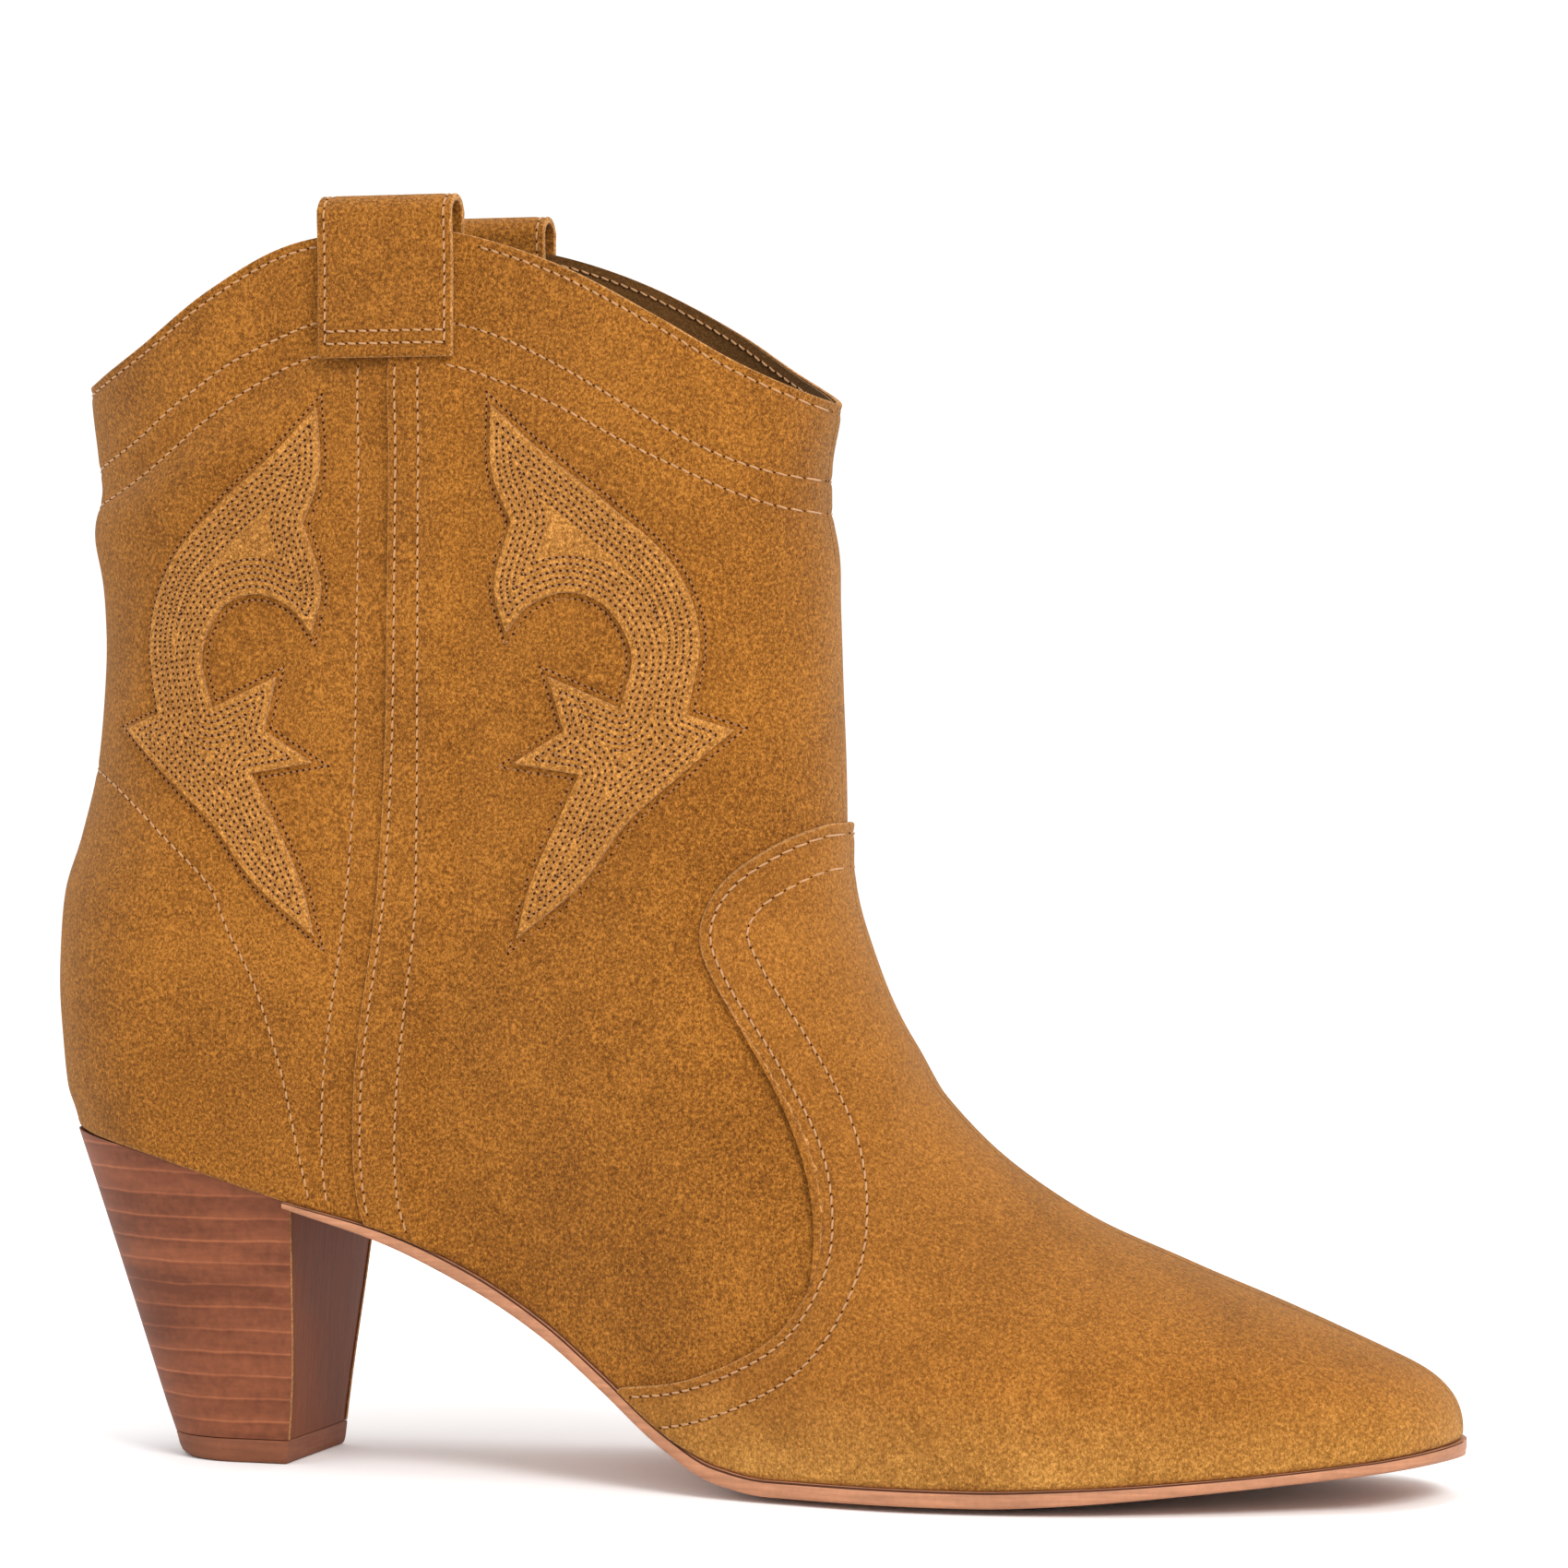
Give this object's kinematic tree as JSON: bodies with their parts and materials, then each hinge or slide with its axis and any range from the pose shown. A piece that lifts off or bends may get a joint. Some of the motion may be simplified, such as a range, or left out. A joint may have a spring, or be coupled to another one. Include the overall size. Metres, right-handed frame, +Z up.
{
  "type": "cowboy boot",
  "caption": "Pull-on western ankle boot for the right foot: suede upper with flame overlays, peaked top line, two pull straps, pointed toe and a tapered stacked heel.",
  "frame": {"origin": "on the ground, under the middle of the boot's own box", "axes": "+X towards the toe, +Y to the inner (big-toe) side, +Z up"},
  "size_m": [0.2712, 0.081, 0.2391],
  "materials": {
    "suede": "ochre-tan suede, brushed nap with soft lighter and darker patches",
    "suede_overlay": "ochre-tan suede overlay with raw cut edges",
    "facing": "dark brown smooth leather facing",
    "lining": "dark brown matt lining leather",
    "stiffener": "matt thermoplastic stiffener sheet",
    "board": "matt pressed leatherboard",
    "shank_steel": "plain spring steel",
    "cork": "matt cork sheet",
    "foam": "soft latex foam",
    "sole_leather": "satin pinkish-tan sole leather with a dyed edge",
    "heel_core": "plain turned heel core",
    "stacked_leather": "polished reddish-brown stacked leather with thin lighter layer lines",
    "cap": "matt brown polyurethane top lift",
    "fastener_steel": "plain steel"
  },
  "bodies": {
    "root": {"vamp": "suede", "shaft_front_panel": "suede", "shaft_back_panel": "suede", "pull_strap_lateral": "suede", "pull_strap_medial": "suede", "flame_front_lateral": "suede_overlay", "flame_front_medial": "suede_overlay", "flame_back_lateral": "suede_overlay", "flame_back_medial": "suede_overlay", "collar_facing_front": "facing", "collar_facing_back": "facing", "shaft_lining_front": "lining", "shaft_lining_back": "lining", "vamp_lining": "lining", "sock_lining": "lining", "toe_puff": "stiffener", "heel_counter": "stiffener", "insole_board": "board", "shank": "shank_steel", "bottom_filler": "cork", "heel_pad": "foam", "outsole": "sole_leather", "heel_block": "heel_core", "heel_wrap": "stacked_leather", "heel_breast_cover": "stacked_leather", "heel_cap": "cap", "heel_screw": "fastener_steel", "heel_nail_1": "fastener_steel", "heel_nail_2": "fastener_steel", "heel_nail_3": "fastener_steel", "heel_nail_4": "fastener_steel", "heel_nail_5": "fastener_steel", "heel_cap_pin_1": "fastener_steel", "heel_cap_pin_2": "fastener_steel"}
  },
  "joints": []
}
